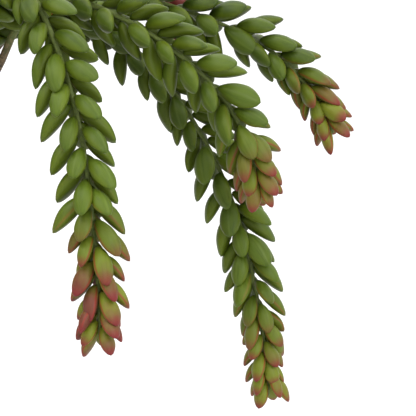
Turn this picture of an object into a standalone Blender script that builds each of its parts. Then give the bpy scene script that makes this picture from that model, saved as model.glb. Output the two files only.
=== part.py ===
"""Potted burro's tail: a clay pot of soil, with stems that arch over its rim and hang, set with plump leaves.

Metres, +Z up. The origin is the middle of the pot's underside.
"""

import math
from collections import namedtuple

import bmesh
import bpy
import numpy as np
from mathutils import Matrix, Vector

# Pot
POT_HEIGHT = 0.190
RIM_RADIUS = 0.062
RIM_HEIGHT = 0.026
RIM_STEP = 0.0035
RIM_TAPER = 0.001
RIM_WALL = 0.0075
FOOT_RADIUS = 0.044
FOOT_CHAMFER = 0.002
WALL = 0.005
FLOOR = 0.008
DRAIN_HOLES = 3
DRAIN_RADIUS = 0.005
DRAIN_CIRCLE = 0.021
POT_SIDES = 36

# Soil
SOIL_TOP = 0.1825
GAP = 0.0003

# Stems
STEM_SIDES = 6
ROOT_RADIUS = 0.0034
TIP_RADIUS = 0.0013
TAPER = 1.6
UPRIGHT = 84.0
ELEVATION_AT = (0.0, 0.12, 0.3, 0.5, 0.75, 1.0)
HEADING_AT = (0.1, 0.5, 1.0)
TURN_PER_RING = math.radians(17)
LONGEST_RING_STEP = 0.045
FINE_STEPS = 200
SKIN_END = 0.98
BORE_PAST = 0.015
LEAF_FROM = 0.006
LEAF_TO = 0.966

# Leaves
LEAF_LENGTH = 0.025
LEAF_WIDTH = 0.45
LEAF_THICKNESS = 0.34
END_LEAF = 0.72
END_FROM = 0.6
SPLAY = math.radians(50)
END_SPLAY = math.radians(32)
LEAF_SPACING = 0.0066
CROWDING = 0.3
LEAF_TURN = math.radians(137.5)
SKIN = 0.0014
SKIN_GAP = 0.00045
LEAF_FITS = (1.0, 0.85, 0.7, 0.55, 0.4)
CLEARANCE = 0.0006
SPINDLE = (
    (1, 0, 0), (0, 1, 0), (0, -1, 0), (0, 0, 1), (0, 0, -1),
    (0.5, 0.5, 0), (0.5, -0.5, 0), (0.5, 0, 0.5), (0.5, 0, -0.5),
)

# root: place round the pot in degrees and distance from its middle. headings: the way that the stem runs,
# in degrees about +Z, at HEADING_AT. elevations: its slope in degrees, at ELEVATION_AT after the first.
# bare: the share of the length below the first leaf.
Tail = namedtuple("Tail", "name root headings elevations length bare")
TAILS = (
    Tail("front_right", (-75, 0.030), (-22, -42, -44), (60, 58, -55, -80, -88), 0.370, 0.25),
    Tail("right_front", (-25, 0.034), (-12, -25, 25), (46, 66, -17, -44, -84), 0.310, 0.32),
    Tail("right_long", (0, 0.030), (0, -6, 20), (86, -1, -49, -74, -87), 0.425, 0.18),
    Tail("right_high", (25, 0.030), (12, 7, -3), (61, 48, -10, -26, -70), 0.336, 0.30),
    Tail("back_right", (52, 0.030), (35, 22, 18), (76, 62, 18, -7, -57), 0.260, 0.22),
    Tail("back", (92, 0.030), (98, 100, 95), (72, 48, -20, -62, -85), 0.330, 0.13),
    Tail("back_left", (128, 0.030), (128, 132, 140), (68, 46, -18, -58, -84), 0.372, 0.12),
    Tail("left_back", (163, 0.030), (165, 160, 164), (66, 52, -12, -50, -80), 0.305, 0.13),
    Tail("left_long", (198, 0.030), (200, 196, 190), (84, 12, -50, -74, -88), 0.405, 0.10),
    Tail("left_front", (233, 0.030), (232, 228, 236), (68, 46, -22, -60, -84), 0.318, 0.13),
    Tail("front", (263, 0.030), (260, 256, 266), (78, 24, -46, -78, -88), 0.352, 0.13),
    Tail("front_shoot", (-45, 0.014), (-22, -24, -28), (82, 72, 54, 24, 0), 0.155, 0.42),
    Tail("back_shoot", (74, 0.016), (74, 72, 68), (84, 74, 50, 12, -24), 0.150, 0.28),
    Tail("left_shoot", (180, 0.014), (181, 184, 180), (84, 76, 56, 20, -10), 0.140, 0.26),
    Tail("middle_shoot", (240, 0.004), (250, 246, 240), (86, 80, 66, 40, 10), 0.125, 0.30),
)


def clear_scene():
    for obj in list(bpy.data.objects):
        bpy.data.objects.remove(obj, do_unlink=True)


def material(name, colour, roughness):
    made = bpy.data.materials.new(name)
    made.use_nodes = True
    shader = made.node_tree.nodes["Principled BSDF"]
    shader.inputs["Base Color"].default_value = (*colour, 1.0)
    shader.inputs["Roughness"].default_value = roughness
    shader.inputs["Metallic"].default_value = 0.0
    return made


def add_object(name, bm, surface):
    mesh = bpy.data.meshes.new(name)
    bm.to_mesh(mesh)
    bm.free()
    obj = bpy.data.objects.new(name, mesh)
    bpy.context.scene.collection.objects.link(obj)
    mesh.materials.append(surface)
    return obj


def helper(obj):
    obj.hide_render = True
    obj.display_type = "WIRE"
    return obj


def turned(name, profile, surface):
    """A profile of (radius, height) points, from the axis round to the axis, turned about +Z."""
    bm = bmesh.new()
    corners = [bm.verts.new((radius, 0, height)) for radius, height in profile]
    edges = [bm.edges.new(pair) for pair in zip(corners, corners[1:])]
    bmesh.ops.spin(
        bm,
        geom=corners + edges,
        axis=(0, 0, 1),
        cent=(0, 0, 0),
        angle=math.tau,
        steps=POT_SIDES,
        use_merge=True,
    )
    bmesh.ops.remove_doubles(bm, verts=bm.verts, dist=1e-6)
    bmesh.ops.recalc_face_normals(bm, faces=bm.faces)
    obj = add_object(name, bm, surface)
    obj.data.shade_smooth()
    obj.data.set_sharp_from_angle(angle=math.radians(30))
    return obj


def inner_radius(height):
    """The pot's inside, a straight taper from its floor to the top of the rim."""
    low = FOOT_RADIUS - WALL
    high = RIM_RADIUS - RIM_WALL
    return low + (high - low) * (height - FLOOR) / (POT_HEIGHT - FLOOR)


def make_pot():
    body_top = RIM_RADIUS - RIM_STEP
    rim_foot = POT_HEIGHT - RIM_HEIGHT
    pot = turned(
        "pot",
        (
            (0, FLOOR),
            (inner_radius(FLOOR), FLOOR),
            (inner_radius(POT_HEIGHT), POT_HEIGHT),
            (RIM_RADIUS, POT_HEIGHT),
            (RIM_RADIUS - RIM_TAPER, rim_foot),
            (body_top, rim_foot - RIM_TAPER),
            (FOOT_RADIUS, FOOT_CHAMFER),
            (FOOT_RADIUS - FOOT_CHAMFER, 0),
            (0, 0),
        ),
        material("terracotta", (0.42, 0.16, 0.08), 0.85),
    )
    bm = bmesh.new()
    for hole in range(DRAIN_HOLES):
        place = Matrix.Rotation(hole * math.tau / DRAIN_HOLES, 4, "Z")
        place @= Matrix.Translation((DRAIN_CIRCLE, 0, FLOOR / 2))
        bmesh.ops.create_cone(
            bm,
            cap_ends=True,
            segments=12,
            radius1=DRAIN_RADIUS,
            radius2=DRAIN_RADIUS,
            depth=3 * FLOOR,
            matrix=place,
        )
    drill = helper(add_object("drain_drill", bm, pot.data.materials[0]))
    cut = pot.modifiers.new("drain holes", "BOOLEAN")
    cut.operation = "DIFFERENCE"
    cut.object = drill


def make_soil():
    turned(
        "soil",
        (
            (0, SOIL_TOP),
            (inner_radius(SOIL_TOP) - GAP, SOIL_TOP),
            (inner_radius(FLOOR + GAP) - GAP, FLOOR + GAP),
            (0, FLOOR + GAP),
        ),
        material("potting_soil", (0.045, 0.028, 0.018), 0.95),
    )


def direction(tail, share):
    """The way that the stem runs at this share of its length."""
    slope = math.radians(np.interp(share, ELEVATION_AT, (UPRIGHT, *tail.elevations)))
    heading = math.radians(np.interp(share, HEADING_AT, tail.headings))
    return Vector(
        (
            math.cos(slope) * math.cos(heading),
            math.cos(slope) * math.sin(heading),
            math.sin(slope),
        )
    )


class Stem:
    """One stem's middle line as straight runs between rings, short where it bends, with a frame that doesn't twist."""

    def __init__(self, tail):
        self.tail = tail
        azimuth, distance = tail.root
        place = Matrix.Rotation(math.radians(azimuth), 4, "Z") @ Vector((distance, 0, SOIL_TOP + 2 * GAP))
        side = Vector((0, 0, 1)).cross(direction(tail, 0)).normalized()
        self.line = [place]
        self.shares = [0.0]
        self.points = [place]
        self.sides = [side]
        must = (tail.bare, SKIN_END, 1.0)
        for step in range(1, FINE_STEPS + 1):
            share = step / FINE_STEPS
            ahead = direction(tail, share - 0.5 / FINE_STEPS)
            place = place + ahead * tail.length / FINE_STEPS
            side = (side - ahead * side.dot(ahead)).normalized()
            self.line.append(place)
            bend = direction(tail, self.shares[-1]).angle(direction(tail, share))
            run = (share - self.shares[-1]) * tail.length
            needed = any(abs(share - stop) < 0.5 / FINE_STEPS for stop in must)
            if bend > TURN_PER_RING or run > LONGEST_RING_STEP or needed:
                self.shares.append(share)
                self.points.append(place)
                self.sides.append(side)

    def at(self, share):
        """(point, side, up, ahead) at a share of the length."""
        share = min(max(share, 0.0), 1.0)
        high = max(1, int(np.searchsorted(self.shares, share)))
        low = high - 1
        part = (share - self.shares[low]) / (self.shares[high] - self.shares[low])
        ahead = direction(self.tail, share)
        side = self.sides[low].lerp(self.sides[high], part)
        side = (side - ahead * side.dot(ahead)).normalized()
        return self.points[low].lerp(self.points[high], part), side, ahead.cross(side), ahead

    def radius(self, share):
        return ROOT_RADIUS + (TIP_RADIUS - ROOT_RADIUS) * min(1.0, share * TAPER)

    def ring(self, share, radius):
        point, side, up, ahead = self.at(share)
        if share == 0:
            ahead = Vector((0, 0, 1))
            up = ahead.cross(side)
        turn = Matrix((side, up, ahead)).transposed().to_4x4()
        return Matrix.Translation(point) @ turn @ Matrix.Diagonal((radius, radius, radius, 1))


def tube(name, rings, surface):
    """A closed tube through these ring frames."""
    bm = bmesh.new()
    circle = bmesh.ops.create_circle(bm, cap_ends=True, segments=STEM_SIDES, radius=1, matrix=rings[0])
    edges = list({edge for vert in circle["verts"] for edge in vert.link_edges})
    for before, after in zip(rings, rings[1:]):
        grown = bmesh.ops.extrude_edge_only(bm, edges=edges)["geom"]
        verts = {item for item in grown if isinstance(item, bmesh.types.BMVert)}
        edges = [item for item in grown if isinstance(item, bmesh.types.BMEdge) and verts.issuperset(item.verts)]
        bmesh.ops.transform(bm, matrix=after @ before.inverted(), verts=list(verts))
    bmesh.ops.contextual_create(bm, geom=edges)
    bmesh.ops.recalc_face_normals(bm, faces=bm.faces)
    return add_object(name, bm, surface)


def make_stem(stem, surface):
    rings = [stem.ring(share, stem.radius(share)) for share in stem.shares]
    tube("stem_" + stem.tail.name, rings, surface).data.shade_smooth()


def clear_of(corners, own_line, other_lines):
    """True where every corner is nearer to its own stem than to any other, so that two tails never meet."""
    own = np.linalg.norm(corners[:, None] - own_line, axis=2).min(axis=1)
    other = np.linalg.norm(corners[:, None] - other_lines, axis=2).min(axis=1)
    return (other - own).min() > CLEARANCE


def leaf_places(stem):
    """(share along the stem, angle round it, length, splay) of each leaf, closer and smaller to the tip."""
    tail = stem.tail
    count = round((1 - tail.bare) * tail.length / LEAF_SPACING)
    for index in range(count):
        run = (index + 0.5) / count
        along = run + CROWDING * run * (1 - run)
        near_end = max(0.0, (along - END_FROM) / (1 - END_FROM))
        length = LEAF_LENGTH * (1 - (1 - END_LEAF) * near_end**1.5)
        splay = SPLAY + (END_SPLAY - SPLAY) * near_end**1.2
        yield LEAF_FROM + tail.bare + (LEAF_TO - tail.bare) * along, index * LEAF_TURN, length, splay


def across_flats(radius, angle):
    """How far out a ring's edge is at this angle: the full radius at a corner, less on a flat."""
    half = math.pi / STEM_SIDES
    from_flat = (angle + half) % (2 * half) - half
    return radius * math.cos(half) / math.cos(from_flat)


def add_leaf(bm, stem, other_lines, share, angle, length, splay):
    """A leaf as a flat spindle, shortened where the next tail is near, and left out where there is no room."""
    point, side, up, ahead = stem.at(share)
    outward = side * math.cos(angle) + up * math.sin(angle)
    along = ahead * math.cos(splay) + outward * math.sin(splay)
    face = outward * math.cos(splay) - ahead * math.sin(splay)
    turn = Matrix((along, face.cross(along), face)).transposed().to_4x4()
    foot = point + outward * across_flats(stem.radius(share) + SKIN_GAP + SKIN / 2, angle)
    shape = Matrix.Diagonal((0.5, LEAF_WIDTH / 2, LEAF_THICKNESS / 2, 1))
    place = Matrix.Translation(foot) @ turn @ Matrix.Scale(length, 4) @ Matrix.Translation((0.5, 0, 0)) @ shape
    own_line = np.array(stem.line[::3])
    for fit in LEAF_FITS:
        fitted = place @ Matrix.Translation((-1, 0, 0)) @ Matrix.Scale(fit, 4) @ Matrix.Translation((1, 0, 0))
        corners = np.array([fitted @ Vector(corner) for corner in SPINDLE])
        if clear_of(corners, own_line, other_lines):
            upright = Matrix.Rotation(math.pi / 2, 4, "Y")
            bmesh.ops.create_uvsphere(bm, u_segments=4, v_segments=2, radius=1, matrix=fitted @ upright)
            return


def make_leaves(stem, other_lines, surface):
    """The leaves of one tail, joined by the thin green skin of the stem that they grow from."""
    tail = stem.tail
    shares = [share for share in stem.shares if tail.bare - 1e-6 < share < SKIN_END + 1e-6]
    skin = [stem.ring(share, stem.radius(share) + SKIN_GAP + SKIN) for share in shares]
    leaves = tube("leaves_" + tail.name, skin, surface)

    bm = bmesh.new()
    for share, angle, length, splay in leaf_places(stem):
        add_leaf(bm, stem, other_lines, share, angle, length, splay)
    join = leaves.modifiers.new("leaves on the skin", "BOOLEAN")
    join.operation = "UNION"
    join.use_self = True
    join.object = helper(add_object("blades_" + tail.name, bm, surface))

    shares = [tail.bare - BORE_PAST, *shares, 1.0]
    bore = [stem.ring(share, stem.radius(share) + SKIN_GAP) for share in shares]
    cut = leaves.modifiers.new("room for the stem", "BOOLEAN")
    cut.operation = "DIFFERENCE"
    cut.object = helper(tube("bore_" + tail.name, bore, surface))


def main():
    clear_scene()
    make_pot()
    make_soil()
    wood = material("stem_wood", (0.13, 0.085, 0.045), 0.8)
    leaf = material("succulent_leaf", (0.105, 0.165, 0.035), 0.4)
    stems = [Stem(tail) for tail in TAILS]
    for stem in stems:
        others = [point for other in stems if other is not stem for point in other.line[::3]]
        make_stem(stem, wood)
        make_leaves(stem, np.array(others), leaf)


main()
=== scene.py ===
"""Potted burro's tail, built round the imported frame: clay pot, soil, woody stems and waxy leaves."""

import math
import random
from collections import namedtuple

import bmesh
import bpy
import numpy as np
from mathutils import Matrix, Vector, noise


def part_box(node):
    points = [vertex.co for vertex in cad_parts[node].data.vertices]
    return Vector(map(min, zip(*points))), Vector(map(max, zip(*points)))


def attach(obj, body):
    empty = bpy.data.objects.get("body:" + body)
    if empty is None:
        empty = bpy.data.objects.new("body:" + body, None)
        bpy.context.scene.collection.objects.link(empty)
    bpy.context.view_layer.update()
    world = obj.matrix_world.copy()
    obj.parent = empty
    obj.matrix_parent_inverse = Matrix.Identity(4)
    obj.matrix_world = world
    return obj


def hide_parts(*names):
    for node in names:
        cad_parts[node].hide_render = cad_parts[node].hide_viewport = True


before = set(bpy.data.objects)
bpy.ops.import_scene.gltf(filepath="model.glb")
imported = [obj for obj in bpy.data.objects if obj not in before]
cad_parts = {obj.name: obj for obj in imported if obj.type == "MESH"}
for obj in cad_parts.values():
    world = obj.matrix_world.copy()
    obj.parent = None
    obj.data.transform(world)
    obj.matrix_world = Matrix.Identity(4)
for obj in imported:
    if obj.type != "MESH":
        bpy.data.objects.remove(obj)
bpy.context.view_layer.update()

MM = 0.001

# Pot, from the frame's box and the walls of its design
POT_LOW, POT_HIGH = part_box("pot")
RIM_RADIUS = (POT_HIGH.x - POT_LOW.x) / 2
POT_HEIGHT = POT_HIGH.z
RIM_HEIGHT = 26 * MM
RIM_STEP = 3.5 * MM
RIM_TAPER = 1 * MM
RIM_WALL = 7.5 * MM
FOOT_RADIUS = 44 * MM
FOOT_CHAMFER = 2 * MM
WALL = 5 * MM
FLOOR = 8 * MM
LIP_ROUND = 1.4 * MM
LIP_SEGMENTS = 3
DRAIN_HOLES = 3
DRAIN_RADIUS = 5 * MM
DRAIN_CIRCLE = 21 * MM
POT_STEPS = 120

# Soil
SOIL_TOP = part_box("soil")[1].z
SOIL_GAP = 0.3 * MM
SOIL_RELIEF = 1.6 * MM
SOIL_LUMP = 7 * MM
SOIL_RINGS = 26
SOIL_STEPS = 96
CRUMBS = 420
CRUMB_SIZES = (1.2 * MM, 4.2 * MM)
PERLITE_GRAINS = 46
PERLITE_SIZES = (1.4 * MM, 3.2 * MM)

# Stems: a tail's slopes and headings are in degrees, at ELEVATION_AT and HEADING_AT shares of its length
ROOT_RADIUS = 3.4 * MM
TIP_RADIUS = 1.3 * MM
TAPER = 1.6
ROOT_FLARE = 1.25
ROOT_DEPTH = 3 * MM
ROOT_ABOVE_SOIL = 0.6 * MM
UPRIGHT = 84.0
ELEVATION_AT = (0.0, 0.12, 0.3, 0.5, 0.75, 1.0)
HEADING_AT = (0.1, 0.5, 1.0)
FINE_STEPS = 200
STEM_RINGS = 90
STEM_SIDES = 10
LEAF_SCAR_SPACING = 5.5 * MM
SCAR_WAIST = 0.96
SCAR_SWELL = 0.13
BARK_PAST_FIRST_LEAF = 0.12

# Leaves: width and thickness are shares of the length, and splay is the angle between a leaf and its stem.
# Each of BLADES is a leaf's (bend, width, keel). The last three spreads are in degrees.
LEAF_LENGTH = 27 * MM
LEAF_WIDTH = 0.52
LEAF_THICKNESS = 0.38
WIDEST = 0.62
POINT = 0.05
OUTER_FULLNESS = 1.12
INNER_FULLNESS = 0.72
BLADES = ((0.30, 1.0, 0.25), (0.42, 0.92, 0.35), (0.36, 1.08, 0.2), (0.5, 1.0, 0.3))
END_LEAF = 0.72
END_FROM = 0.66
SPLAY = math.radians(51)
END_SPLAY = math.radians(43)
LEAF_SPACING = 3.15 * MM
CROWDING = 0.55
LEAF_ROWS = 5
LEAF_TURN = 2 * math.tau / LEAF_ROWS
ROW_TWIST = math.radians(0.35)
ROWS_SET_AT = 0.6
LAST_LEAF = 0.975
FOOT_DEPTH = 0.6
LENGTH_SPREAD = (0.83, 1.10)
SPLAY_SPREAD = 6
TURN_SPREAD = 8
ROLL_SPREAD = 13

# The same stems as the frame's. The seventh column is painted light and shade on the whole tail, from 0,
# the deepest green, painted on a tail in shade, to 1, the palest, on a tail in light. blush is how much red
# the sun has put on the leaves at the tail's end.
Tail = namedtuple("Tail", "name root headings elevations length bare tone blush")
TAILS = (
    Tail("front_right", (-75, 0.030), (-22, -42, -44), (60, 58, -55, -80, -88), 0.370, 0.25, 0.80, 0.92),
    Tail("right_front", (-25, 0.034), (-12, -25, 25), (46, 66, -17, -44, -84), 0.310, 0.32, 0.50, 0.52),
    Tail("right_long", (0, 0.030), (0, -6, 20), (86, -1, -49, -74, -87), 0.425, 0.18, 0.50, 0.44),
    Tail("right_high", (25, 0.030), (12, 7, -3), (61, 48, -10, -26, -70), 0.336, 0.30, 0.20, 0.62),
    Tail("back_right", (52, 0.030), (35, 22, 18), (76, 62, 18, -7, -57), 0.260, 0.22, 0.00, 2.60),
    Tail("back", (92, 0.030), (98, 100, 95), (72, 48, -20, -62, -85), 0.330, 0.13, 0.40, 0.75),
    Tail("back_left", (128, 0.030), (128, 132, 140), (68, 46, -18, -58, -84), 0.372, 0.12, 0.50, 0.60),
    Tail("left_back", (163, 0.030), (165, 160, 164), (66, 52, -12, -50, -80), 0.305, 0.13, 0.60, 0.90),
    Tail("left_long", (198, 0.030), (200, 196, 190), (84, 12, -50, -74, -88), 0.405, 0.10, 0.45, 0.45),
    Tail("left_front", (233, 0.030), (232, 228, 236), (68, 46, -22, -60, -84), 0.318, 0.13, 0.65, 0.80),
    Tail("front", (263, 0.030), (260, 256, 266), (78, 24, -46, -78, -88), 0.352, 0.13, 0.60, 0.70),
    Tail("front_shoot", (-45, 0.014), (-22, -24, -28), (82, 72, 54, 24, 0), 0.155, 0.42, 0.80, 0.10),
    Tail("back_shoot", (74, 0.016), (74, 72, 68), (84, 74, 50, 12, -24), 0.150, 0.28, 0.50, 0.15),
    Tail("left_shoot", (180, 0.014), (181, 184, 180), (84, 76, 56, 20, -10), 0.140, 0.26, 0.75, 0.15),
    Tail("middle_shoot", (240, 0.004), (250, 246, 240), (86, 80, 66, 40, 10), 0.125, 0.30, 0.80, 0.10),
)


# --- Materials ------------------------------------------------------------------------------------

# Settings that several nodes share
SMOOTH = {"interpolation_type": "SMOOTHSTEP"}
BLEND = {"data_type": "RGBA"}
SUBTRACT = {"operation": "SUBTRACT"}
ABSOLUTE = {"operation": "ABSOLUTE"}
MULTIPLY = {"operation": "MULTIPLY"}
MULTIPLY_ADD = {"operation": "MULTIPLY_ADD"}
COLOUR_RESULT = 2


def srgb(code):
    """An sRGB hex colour as linear RGBA."""
    values = [int(code[place : place + 2], 16) / 255 for place in (1, 3, 5)]
    return (*[v / 12.92 if v <= 0.04045 else ((v + 0.055) / 1.055) ** 2.4 for v in values], 1.0)


def new_material(name):
    """A material, its node tree and its shader."""
    made = bpy.data.materials.new(name)
    made.use_nodes = True
    return made, made.node_tree, made.node_tree.nodes["Principled BSDF"]


def connect(node, **inputs):
    """Gives each input of a node a value, an output or another node's result. i0 is its first input."""
    for key, value in inputs.items():
        socket = node.inputs[int(key[1:])] if key[1:].isdigit() else node.inputs[key.replace("_", " ")]
        if isinstance(value, bpy.types.Node):
            value = value.outputs[COLOUR_RESULT if value.bl_idname == "ShaderNodeMix" else 0]
        if isinstance(value, bpy.types.NodeSocket):
            node.id_data.links.new(value, socket)
        else:
            socket.default_value = value


def add_node(tree, kind, settings=None, **inputs):
    """A node with its settings made and its inputs connected."""
    node = tree.nodes.new(kind)
    for key, value in (settings or {}).items():
        setattr(node, key, value)
    connect(node, **inputs)
    return node


def weighted(tree, start, *terms):
    """start plus each term's value times its weight."""
    total = start
    for value, weight in terms:
        total = add_node(tree, "ShaderNodeMath", MULTIPLY_ADD, i0=value, i1=weight, i2=total)
    return total


def succulent_leaf():
    """Sedum leaf skin: smooth, faintly waxy and plump with water.
    Light softens inside it, and its gloss is broad."""
    made, tree, shader = new_material("succulent_leaf_skin")
    where = add_node(tree, "ShaderNodeTexCoord").outputs["Object"]
    leaf = add_node(tree, "ShaderNodeAttribute", {"attribute_name": "leaf"}).outputs
    along, across, run = add_node(tree, "ShaderNodeSeparateColor", Color=leaf["Color"]).outputs
    chance = leaf["Alpha"]
    painted_light_blush_face = add_node(tree, "ShaderNodeAttribute", {"attribute_name": "painted_light_blush_face"}).outputs
    tone, blush, face = add_node(tree, "ShaderNodeSeparateColor", Color=painted_light_blush_face["Color"]).outputs
    from_middle = add_node(tree, "ShaderNodeMath", SUBTRACT, i0=across, i1=0.5)
    side = add_node(tree, "ShaderNodeMath", ABSOLUTE, i0=from_middle)
    cloudy = add_node(tree, "ShaderNodeTexNoise", Vector=where, Scale=1 / (9 * MM), Detail=2.0)
    # Faint streaks along each leaf, where the water tissue shows through the skin, with chance setting them
    # apart from the next leaf's.
    lengthwise = add_node(
        tree,
        "ShaderNodeCombineXYZ",
        X=add_node(tree, "ShaderNodeMath", MULTIPLY, i0=across, i1=9.0),
        Y=add_node(tree, "ShaderNodeMath", MULTIPLY, i0=along, i1=1.6),
        Z=add_node(tree, "ShaderNodeMath", MULTIPLY, i0=chance, i1=60.0),
    )
    streaks = add_node(
        tree, "ShaderNodeTexNoise", Vector=lengthwise, Scale=1.0, Detail=3.0, Roughness=0.6
    )

    # Each leaf has a green of its own at random. On top of it is painted light and shade: a paler green on
    # a tail in light, a deeper green on a tail in shade, and painted shade that darkens the leaves towards
    # the root, where the crown and the tails above shade them.
    tone_and_painted_shade = weighted(tree, -0.32, (tone, 0.6), (chance, 0.4), (run, 0.8))
    colour = add_node(tree, "ShaderNodeMix", BLEND, i0=tone_and_painted_shade, i6=srgb("#1b2c02"), i7=srgb("#4c5e17"))
    # The sun starts to redden leaves nearer to the root on a tail with more blush, first their points and
    # edges and then, on some of them, their backs.
    late = weighted(tree, run, (blush, 0.16))
    ripe = weighted(tree, 0.0, (along, 0.55), (cloudy, 0.5), (chance, 0.55), (blush, 0.3))
    # A painted highlight: a pale line down the middle of each leaf's outer face, along its ridge.
    ridge = add_node(tree, "ShaderNodeMath", MULTIPLY, i0=face, i1=0.2)
    # Each layer: its colour, the most of it that shows, and the values that bring it in, from none to all.
    layers = (
        ("#4c5c10", 0.4, ((cloudy, 0.35, 0.75),)),  # yellower clouds
        ("#1e3006", 0.35, ((streaks, 0.45, 0.75),)),  # water tissue
        ("#55600c", 0.4, ((side, 0.32, 0.5),)),  # flanks
        ("#4d580a", 0.45, ((face, 0.5, 0.1),)),  # underside
        ("#66743a", ridge, ((side, 0.10, 0.0),)),  # painted highlight along the ridge
        ("#747a22", 0.75, ((late, 0.85, 1.12),)),  # young leaves
        ("#602c28", blush, ((ripe, 0.86, 1.34), (late, 0.87, 1.02))),  # flushed backs
        ("#6e2124", 0.9, ((along, 0.70, 0.97), (late, 0.86, 1.0))),  # points
        ("#7a2a22", 0.8, ((side, 0.44, 0.5), (late, 0.80, 1.0))),  # edges
    )
    for tint, most, causes in layers:
        share = most
        for value, start, full in causes:
            shown = add_node(tree, "ShaderNodeMapRange", SMOOTH, i0=value, i1=start, i2=full)
            share = add_node(tree, "ShaderNodeMath", MULTIPLY, i0=shown, i1=share)
        colour = add_node(tree, "ShaderNodeMix", BLEND, i0=share, i6=colour, i7=srgb(tint))

    fine = add_node(
        tree, "ShaderNodeTexNoise", Vector=where, Scale=1 / (0.7 * MM), Detail=3.0, Roughness=0.6
    )
    relief = weighted(tree, streaks, (fine, 0.25))
    connect(
        shader,
        Base_Color=colour,
        Roughness=add_node(tree, "ShaderNodeMapRange", i0=cloudy, i3=0.38, i4=0.54),
        IOR=1.42,
        Specular_IOR_Level=0.24,
        Subsurface_Weight=0.25,
        Subsurface_Radius=(0.8, 1.0, 0.2),
        Subsurface_Scale=2.0 * MM,
        Normal=add_node(tree, "ShaderNodeBump", Strength=0.4, Distance=0.35 * MM, Height=relief),
    )
    return made


def stem_skin():
    """Sedum stem: thin brown bark with pale cracks at the root, and smooth green skin where leaves grow."""
    made, tree, shader = new_material("stem_bark_and_skin")
    where = add_node(tree, "ShaderNodeTexCoord").outputs["Object"]
    age = add_node(tree, "ShaderNodeAttribute", {"attribute_name": "age"}).outputs["Fac"]
    cracks = add_node(
        tree, "ShaderNodeTexNoise", Vector=where, Scale=1 / (1.6 * MM), Detail=5.0, Roughness=0.65
    )
    cracked = add_node(tree, "ShaderNodeMapRange", SMOOTH, i0=cracks, i1=0.35, i2=0.68)
    bark = add_node(tree, "ShaderNodeMix", BLEND, i0=cracked, i6=srgb("#2f2212"), i7=srgb("#6c5a3e"))
    mottled = add_node(tree, "ShaderNodeMapRange", SMOOTH, i0=cracks, i1=0.3, i2=0.7)
    green = add_node(tree, "ShaderNodeMix", BLEND, i0=mottled, i6=srgb("#46541c"), i7=srgb("#5f6c2a"))
    edge = weighted(tree, age, (cracks, 0.25))
    barked = add_node(tree, "ShaderNodeMapRange", SMOOTH, i0=edge, i1=0.34, i2=0.52)
    connect(
        shader,
        Base_Color=add_node(tree, "ShaderNodeMix", BLEND, i0=barked, i6=green, i7=bark),
        Roughness=0.68,
        Normal=add_node(tree, "ShaderNodeBump", Strength=0.7, Distance=0.5 * MM, Height=cracks),
    )
    return made


def terracotta():
    """Unglazed earthenware, thrown and fired: chalky, warm orange, with throwing lines and pale salts at
    the foot."""
    made, tree, shader = new_material("unglazed_terracotta")
    where = add_node(tree, "ShaderNodeTexCoord").outputs["Object"]
    height = add_node(tree, "ShaderNodeSeparateXYZ", Vector=where).outputs["Z"]
    clouds = add_node(
        tree, "ShaderNodeTexNoise", Vector=where, Scale=1 / (34 * MM), Detail=4.0, Roughness=0.6
    )
    grog = add_node(
        tree, "ShaderNodeTexNoise", Vector=where, Scale=1 / (1.1 * MM), Detail=4.0, Roughness=0.7
    )
    clouded = add_node(tree, "ShaderNodeMapRange", SMOOTH, i0=clouds, i1=0.3, i2=0.7)
    clay = add_node(tree, "ShaderNodeMix", BLEND, i0=clouded, i6=srgb("#9a5436"), i7=srgb("#b06a49"))
    speckled = add_node(tree, "ShaderNodeMapRange", SMOOTH, i0=grog, i1=0.55, i2=0.72, i4=0.35)
    clay = add_node(tree, "ShaderNodeMix", BLEND, i0=speckled, i6=clay, i7=srgb("#8a4428"))
    low = add_node(tree, "ShaderNodeMapRange", SMOOTH, i0=height, i1=0.055, i2=0.0)
    patchy = add_node(tree, "ShaderNodeMapRange", SMOOTH, i0=clouds, i1=0.42, i2=0.66, i4=0.55)
    salts = add_node(tree, "ShaderNodeMath", MULTIPLY, i0=low, i1=patchy)
    squeezed = add_node(tree, "ShaderNodeMapping", Vector=where, Scale=(0.08, 0.08, 1.0))
    lines = add_node(tree, "ShaderNodeTexNoise", Vector=squeezed, Scale=1 / (2.4 * MM), Detail=2.0)
    relief = weighted(tree, lines, (grog, 0.35))
    connect(
        shader,
        Base_Color=add_node(tree, "ShaderNodeMix", BLEND, i0=salts, i6=clay, i7=srgb("#dcc8b4")),
        Roughness=add_node(tree, "ShaderNodeMapRange", i0=grog, i3=0.78, i4=0.95),
        Normal=add_node(tree, "ShaderNodeBump", Strength=0.5, Distance=0.35 * MM, Height=relief),
    )
    return made


def compost():
    """Moist peat-based potting soil: near-black brown with fibrous lumps, fully matte."""
    made, tree, shader = new_material("moist_compost")
    where = add_node(tree, "ShaderNodeTexCoord").outputs["Object"]
    lumps = add_node(
        tree, "ShaderNodeTexNoise", Vector=where, Scale=1 / (2.2 * MM), Detail=6.0, Roughness=0.7
    )
    lumpy = add_node(tree, "ShaderNodeMapRange", SMOOTH, i0=lumps, i1=0.35, i2=0.7)
    connect(
        shader,
        Base_Color=add_node(tree, "ShaderNodeMix", BLEND, i0=lumpy, i6=srgb("#2a1d14"), i7=srgb("#57412e")),
        Roughness=0.93,
        Normal=add_node(tree, "ShaderNodeBump", Strength=0.9, Distance=0.9 * MM, Height=lumps),
    )
    return made


def perlite():
    """Expanded perlite: chalk-white foamed glass with tiny pits."""
    made, tree, shader = new_material("perlite_grain")
    where = add_node(tree, "ShaderNodeTexCoord").outputs["Object"]
    pits = add_node(
        tree, "ShaderNodeTexNoise", Vector=where, Scale=1 / (0.5 * MM), Detail=3.0, Roughness=0.6
    )
    connect(
        shader,
        Base_Color=add_node(tree, "ShaderNodeMix", BLEND, i0=pits, i6=srgb("#b9b1a2"), i7=srgb("#e9e4d8")),
        Roughness=0.85,
        Normal=add_node(tree, "ShaderNodeBump", Strength=0.6, Distance=0.3 * MM, Height=pits),
    )
    return made


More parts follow.
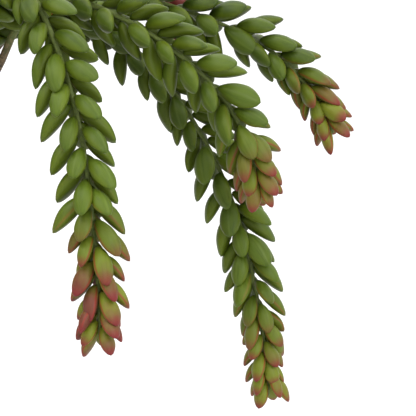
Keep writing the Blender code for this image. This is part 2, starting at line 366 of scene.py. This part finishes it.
def backlit_paper():
    """White paper lit from behind, so that the floor stays white under the plant's shadow."""
    made, _, shader = new_material("matte_white_paper")
    connect(
        shader,
        Base_Color=srgb("#8f8f8f"),
        Roughness=1.0,
        Specular_IOR_Level=0.0,
        Emission_Color=(1, 1, 1, 1),
        Emission_Strength=0.72,
    )
    return made


# --- Shared mesh helpers --------------------------------------------------------------------------


def piece_of(name, bm, surface, node):
    """A finished bmesh as a piece that rides on the frame and stands for a node."""
    mesh = bpy.data.meshes.new(name)
    bm.to_mesh(mesh)
    bm.free()
    mesh.shade_smooth()
    mesh.materials.append(surface)
    piece = bpy.data.objects.new(name, mesh)
    bpy.context.scene.collection.objects.link(piece)
    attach(piece, "root")
    if node:
        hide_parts(node)
    return piece


def turned(profile, steps):
    """A profile of (radius, height) points turned about +Z, with its faces outward."""
    bm = bmesh.new()
    corners = [bm.verts.new((radius, 0, height)) for radius, height in profile]
    edges = [bm.edges.new(pair) for pair in zip(corners, corners[1:])]
    bmesh.ops.spin(
        bm,
        geom=corners + edges,
        axis=(0, 0, 1),
        cent=(0, 0, 0),
        angle=math.tau,
        steps=steps,
        use_merge=True,
    )
    bmesh.ops.remove_doubles(bm, verts=bm.verts, dist=1e-6)
    bmesh.ops.recalc_face_normals(bm, faces=bm.faces)
    return bm


def subdivided(piece, levels):
    """Rounds a piece by Subdivision Surface, the same in the viewport and the render."""
    smooth = piece.modifiers.new("smooth skin", "SUBSURF")
    smooth.levels = levels
    smooth.render_levels = levels


# --- Pot ------------------------------------------------------------------------------------------


def inner_radius(height):
    """The radius of the pot's inside at this height."""
    low = FOOT_RADIUS - WALL
    high = RIM_RADIUS - RIM_WALL
    return low + (high - low) * (height - FLOOR) / (POT_HEIGHT - FLOOR)


def make_pot():
    """A turned pot with a rim band, drilled with drain holes and then softened at its edges."""
    rim_foot = POT_HEIGHT - RIM_HEIGHT
    bm = turned(
        (
            (0, FLOOR),
            (inner_radius(FLOOR), FLOOR),
            (inner_radius(POT_HEIGHT), POT_HEIGHT),
            (RIM_RADIUS, POT_HEIGHT),
            (RIM_RADIUS - RIM_TAPER, rim_foot),
            (RIM_RADIUS - RIM_STEP, rim_foot - RIM_TAPER),
            (FOOT_RADIUS, FOOT_CHAMFER),
            (FOOT_RADIUS - FOOT_CHAMFER, 0),
            (0, 0),
        ),
        POT_STEPS,
    )
    pot = piece_of("clay_pot", bm, terracotta(), "pot")
    drill = bmesh.new()
    for hole in range(DRAIN_HOLES):
        place = Matrix.Rotation(hole * math.tau / DRAIN_HOLES, 4, "Z")
        place @= Matrix.Translation((DRAIN_CIRCLE, 0, FLOOR / 2))
        bmesh.ops.create_cone(
            drill,
            cap_ends=True,
            segments=32,
            radius1=DRAIN_RADIUS,
            radius2=DRAIN_RADIUS,
            depth=3 * FLOOR,
            matrix=place,
        )
    mesh = bpy.data.meshes.new("drain_drill")
    drill.to_mesh(mesh)
    drill.free()
    cutter = bpy.data.objects.new("drain_drill", mesh)
    bpy.context.scene.collection.objects.link(cutter)
    cut = pot.modifiers.new("drain holes", "BOOLEAN")
    cut.operation = "DIFFERENCE"
    cut.object = cutter
    soften = pot.modifiers.new("fingered edges", "BEVEL")
    soften.width = LIP_ROUND
    soften.segments = LIP_SEGMENTS
    soften.limit_method = "ANGLE"
    soften.angle_limit = math.radians(35)
    finished = bpy.data.meshes.new_from_object(pot.evaluated_get(bpy.context.evaluated_depsgraph_get()))
    pot.modifiers.clear()
    pot.data = finished
    finished.shade_smooth()
    finished.set_sharp_from_angle(angle=math.radians(40))
    bpy.data.objects.remove(cutter, do_unlink=True)


# --- Soil -----------------------------------------------------------------------------------------


def soil_height(x, y):
    """The height of the soil's lumpy surface."""
    rough = noise.fractal(Vector((x, y, 0)) / SOIL_LUMP, 0.8, 2.1, 4)
    return SOIL_TOP - 0.4 * SOIL_RELIEF + 0.6 * SOIL_RELIEF * rough


def scattered(count, sizes, seed):
    """Irregular lumps half sunk in the soil's surface."""
    pick = random.Random(seed)
    bm = bmesh.new()
    for _ in range(count):
        reach = (inner_radius(SOIL_TOP) - 3 * MM) * math.sqrt(pick.random())
        angle = pick.uniform(0, math.tau)
        x, y = reach * math.cos(angle), reach * math.sin(angle)
        size = pick.uniform(*sizes)
        made = bmesh.ops.create_icosphere(bm, subdivisions=1, radius=size / 2)
        for vert in made["verts"]:
            vert.co *= pick.uniform(0.75, 1.15)
        turn = Matrix.Rotation(pick.uniform(0, math.tau), 4, Vector((pick.random(), pick.random(), 1)))
        squash = (pick.uniform(0.7, 1.2), pick.uniform(0.7, 1.2), pick.uniform(0.5, 0.9), 1)
        place = Matrix.Translation((x, y, soil_height(x, y) + 0.15 * size))
        bmesh.ops.transform(bm, matrix=place @ turn @ Matrix.Diagonal(squash), verts=made["verts"])
    return bm


def make_soil():
    """A plug of soil that fills the pot, with loose crumbs and perlite on its surface."""
    edge = inner_radius(SOIL_TOP) - SOIL_GAP
    profile = [(edge * ring / SOIL_RINGS, SOIL_TOP) for ring in range(SOIL_RINGS + 1)]
    profile += [(inner_radius(FLOOR) - SOIL_GAP, FLOOR + SOIL_GAP), (0, FLOOR + SOIL_GAP)]
    bm = turned(profile, SOIL_STEPS)
    for vert in bm.verts:
        if vert.co.z > SOIL_TOP - 0.1 * MM:
            vert.co.z = soil_height(vert.co.x, vert.co.y)
    surface = compost()
    piece_of("soil_body", bm, surface, "soil")
    piece_of("soil_crumbs", scattered(CRUMBS, CRUMB_SIZES, 5), surface, None)
    piece_of("perlite", scattered(PERLITE_GRAINS, PERLITE_SIZES, 9), perlite(), None)


# --- Stems ----------------------------------------------------------------------------------------


def direction(tail, share):
    """The way that the stem runs at this share of its length."""
    slope = math.radians(np.interp(share, ELEVATION_AT, (UPRIGHT, *tail.elevations)))
    heading = math.radians(np.interp(share, HEADING_AT, tail.headings))
    level = math.cos(slope)
    return Vector((level * math.cos(heading), level * math.sin(heading), math.sin(slope)))


class Stem:
    """One stem's middle line, with a frame that doesn't twist, read at any share of its length."""

    def __init__(self, tail):
        self.tail = tail
        azimuth, distance = tail.root
        root = Vector((distance, 0, SOIL_TOP + ROOT_ABOVE_SOIL))
        place = Matrix.Rotation(math.radians(azimuth), 4, "Z") @ root
        self.points = [place]
        self.sides = [Vector((0, 0, 1)).cross(direction(tail, 0)).normalized()]
        for step in range(1, FINE_STEPS + 1):
            ahead = direction(tail, (step - 0.5) / FINE_STEPS)
            self.points.append(self.points[-1] + ahead * tail.length / FINE_STEPS)
            side = self.sides[-1] - ahead * self.sides[-1].dot(ahead)
            self.sides.append(side.normalized())

    def at(self, share):
        """(point, side, up, ahead) at a share of the length."""
        place = min(max(share, 0.0), 1.0) * FINE_STEPS
        low = min(int(place), FINE_STEPS - 1)
        point = self.points[low].lerp(self.points[low + 1], place - low)
        ahead = direction(self.tail, share)
        side = self.sides[low] - ahead * self.sides[low].dot(ahead)
        side.normalize()
        return point, side, ahead.cross(side), ahead

    def radius(self, share):
        return ROOT_RADIUS + (TIP_RADIUS - ROOT_RADIUS) * min(1.0, share * TAPER)


def make_stem(stem, surface):
    """A tapering stem with the raised scars of fallen leaves along its bare part."""
    tail = stem.tail
    bm = bmesh.new()
    age_layer = bm.verts.layers.float.new("age")
    scars = tail.length / LEAF_SCAR_SPACING
    edges = None
    before = None
    for ring in range(STEM_RINGS + 1):
        share = ring / STEM_RINGS
        point, side, up, ahead = stem.at(share)
        knuckle = 0.5 + 0.5 * math.cos(math.tau * share * scars)
        bare = max(0.0, 1 - share / (tail.bare + BARK_PAST_FIRST_LEAF))
        radius = stem.radius(share) * (SCAR_WAIST + SCAR_SWELL * bare * knuckle**3)
        if ring == 0:
            radius *= ROOT_FLARE
            point = point - Vector((0, 0, ROOT_DEPTH))
        turn = Matrix((side, up, ahead)).transposed().to_4x4()
        here = Matrix.Translation(point) @ turn @ Matrix.Diagonal((radius, radius, radius, 1))
        if edges is None:
            made = bmesh.ops.create_circle(bm, cap_ends=True, segments=STEM_SIDES, radius=1, matrix=here)
            verts = made["verts"]
            edges = list({edge for vert in verts for edge in vert.link_edges})
        else:
            grown = bmesh.ops.extrude_edge_only(bm, edges=edges)["geom"]
            verts = [item for item in grown if isinstance(item, bmesh.types.BMVert)]
            ring_verts = set(verts)
            grown_edges = [item for item in grown if isinstance(item, bmesh.types.BMEdge)]
            edges = [edge for edge in grown_edges if ring_verts.issuperset(edge.verts)]
            bmesh.ops.transform(bm, matrix=here @ before.inverted(), verts=verts)
        for vert in verts:
            vert[age_layer] = bare
        before = here
    bmesh.ops.contextual_create(bm, geom=edges)
    bmesh.ops.recalc_face_normals(bm, faces=bm.faces)
    piece_of("bark_" + tail.name, bm, surface, "stem_" + tail.name)


# --- Leaves ---------------------------------------------------------------------------------------


def leaf_blade(bend, width, keel):
    """One leaf of length 1 along +X, its outer face to +Z: pointed, widest past the middle, and plump.
    It is a ball whose rings are drawn out to the leaf's outline, returned with each vertex's
    (along, across, face)."""
    bm = bmesh.new()
    bmesh.ops.create_uvsphere(bm, u_segments=8, v_segments=8, radius=1)
    marks = []
    for vert in bm.verts:
        along = 1 - math.acos(max(-1.0, min(1.0, vert.co.z))) / math.pi
        angle = math.atan2(vert.co.y, vert.co.x) if 0 < along < 1 else 0.0
        across, outer = math.cos(angle), math.sin(angle)
        if along < WIDEST:
            outline = math.sin(math.pi / 2 * along / WIDEST) ** 0.85
        else:
            past = (along - WIDEST) / (1 - WIDEST)
            outline = max(math.cos(math.pi / 2 * past), 0.0) ** 0.66
        half_width = width / 2 * outline
        depth = LEAF_THICKNESS / 2 * max(math.sin(math.pi * along**0.9), 0.0) ** 0.7
        ridge = keel * along * (1 - abs(across)) if outer > 0 else 0.0
        lift = depth * outer * (OUTER_FULLNESS if outer > 0 else INNER_FULLNESS) * (1 + ridge)
        curl = -0.35 * bend * along * along
        reach = along + (POINT if along > 1 - 1e-6 else 0) - 0.10 * bend * bend * along
        vert.co = (reach, across * half_width, lift + curl)
        if 1e-6 < along < 1 - 1e-6:
            marks.append((along, 0.5 + 0.5 * across, 0.5 + 0.5 * outer))
        else:
            marks.append((along, 0.5, 0.5))
    bmesh.ops.recalc_face_normals(bm, faces=bm.faces)
    mesh = bpy.data.meshes.new("leaf_blade")
    bm.to_mesh(mesh)
    bm.free()
    return mesh, marks


def leaf_places(tail, pick):
    """(share along the stem, run along the leafy part, angle, length, splay) of each leaf. Each leaf is two
    rows round from the last, so the leaves of a row overlap like tiles."""
    leafy = 1 - tail.bare
    count = round(leafy * tail.length / LEAF_SPACING)
    for index in range(count):
        spaced = (index + 0.5) / count
        run = spaced + CROWDING * spaced**2 * (1 - spaced)
        near_end = max(0.0, (run - END_FROM) / (1 - END_FROM))
        length = LEAF_LENGTH * (1 - (1 - END_LEAF) * near_end**1.5) * pick.uniform(*LENGTH_SPREAD)
        splay = SPLAY + (END_SPLAY - SPLAY) * near_end**1.2
        splay += math.radians(pick.gauss(0, SPLAY_SPREAD))
        angle = index * (LEAF_TURN + ROW_TWIST) + math.radians(pick.gauss(0, TURN_SPREAD))
        yield tail.bare + leafy * LAST_LEAF * run, run, angle, length, splay


def make_leaves(stem, blades, surface, seed):
    """All the leaves of one tail. Each vertex keeps where on its leaf it is, its tail's painted light and
    shade, and its tail's blush.
    """
    tail = stem.tail
    pick = random.Random(seed)
    bm = bmesh.new()
    leaf_layer = bm.verts.layers.float_color.new("leaf")
    painted_light_blush_face_layer = bm.verts.layers.float_color.new("painted_light_blush_face")
    # One of the rows runs down the side away from the front.
    _, side, up, _ = stem.at(ROWS_SET_AT)
    first_row = math.atan2(up.y, side.y) - ROWS_SET_AT * ROW_TWIST * tail.length / LEAF_SPACING
    for share, run, angle, length, splay in leaf_places(tail, pick):
        angle += first_row
        blade, marks = pick.choice(blades)
        chance = pick.random()
        point, side, up, ahead = stem.at(share)
        outward = side * math.cos(angle) + up * math.sin(angle)
        along = ahead * math.cos(splay) + outward * math.sin(splay)
        face = outward * math.cos(splay) - ahead * math.sin(splay)
        turn = Matrix((along, face.cross(along), face)).transposed().to_4x4()
        roll = Matrix.Rotation(math.radians(pick.gauss(0, ROLL_SPREAD)), 4, "X")
        foot = point + outward * stem.radius(share) * FOOT_DEPTH
        place = Matrix.Translation(foot) @ turn @ roll @ Matrix.Scale(length, 4)
        first = len(bm.verts)
        bm.from_mesh(blade)
        bm.verts.ensure_lookup_table()
        verts = bm.verts[first:]
        bmesh.ops.transform(bm, matrix=place, verts=verts)
        for vert, (up_leaf, across, outer) in zip(verts, marks):
            vert[leaf_layer] = (up_leaf, across, run, chance)
            # Each vertex gets its tail's painted light and shade, its tail's blush and the face of the leaf
            # that it is on.
            vert[painted_light_blush_face_layer] = (tail.tone, tail.blush, outer, 1.0)
    leaves = piece_of("foliage_" + tail.name, bm, surface, "leaves_" + tail.name)
    subdivided(leaves, 1)


# --- Stage ----------------------------------------------------------------------------------------


def area_light(name, place, aim, size, power, colour):
    light = bpy.data.lights.new(name, "AREA")
    light.shape = "DISK"
    light.size = size
    light.energy = power
    light.color = srgb(colour)[:3]
    lamp = bpy.data.objects.new(name, light)
    lamp.location = place
    lamp.rotation_euler = (Vector(aim) - Vector(place)).to_track_quat("-Z", "Y").to_euler()
    bpy.context.scene.collection.objects.link(lamp)


def make_stage():
    """A white floor in a light tent that is brighter overhead, with two soft lamps."""
    bm = bmesh.new()
    bmesh.ops.create_grid(bm, x_segments=1, y_segments=1, size=6)
    mesh = bpy.data.meshes.new("pale_floor")
    bm.to_mesh(mesh)
    bm.free()
    mesh.materials.append(backlit_paper())
    floor = bpy.data.objects.new("pale_floor", mesh)
    bpy.context.scene.collection.objects.link(floor)

    world = bpy.data.worlds.new("light_tent")
    world.use_nodes = True
    tree = world.node_tree
    sky = add_node(tree, "ShaderNodeTexCoord").outputs["Generated"]
    height = add_node(tree, "ShaderNodeSeparateXYZ", Vector=sky).outputs["Z"]
    glow = add_node(tree, "ShaderNodeMapRange", i0=height, i1=0.15, i2=0.9, i3=1.12, i4=2.3)
    connect(tree.nodes["Background"], Color=(1, 1, 1, 1), Strength=glow)
    bpy.context.scene.world = world
    bpy.context.scene.view_settings.view_transform = "Standard"

    area_light("overhead_softbox", (-0.25, -0.55, 1.25), (0.1, 0, 0.2), 0.8, 6, "#fffaf0")
    area_light("front_softbox", (0.9, -1.1, 0.6), (0.15, 0, 0.2), 0.9, 8, "#ffffff")


def make_camera():
    """A long lens that looks slightly down on the tails at the right of the pot."""
    aim = Vector((0.191, 0.0, 0.163))
    slope = math.radians(8)
    distance = 1.0
    seen_width = 0.25
    camera = bpy.data.cameras.new("camera")
    camera.lens = camera.sensor_width * distance / seen_width
    eye = bpy.data.objects.new("camera", camera)
    eye.location = aim + distance * Vector((0, -math.cos(slope), math.sin(slope)))
    eye.rotation_euler = (math.pi / 2 - slope, 0, 0)
    bpy.context.scene.collection.objects.link(eye)
    bpy.context.scene.camera = eye


def main():
    make_camera()
    make_stage()
    make_pot()
    make_soil()
    bark = stem_skin()
    skin = succulent_leaf()
    blades = [leaf_blade(bend, width * LEAF_WIDTH, keel) for bend, width, keel in BLADES]
    for number, tail in enumerate(TAILS):
        stem = Stem(tail)
        make_stem(stem, bark)
        make_leaves(stem, blades, skin, 100 + number)


main()
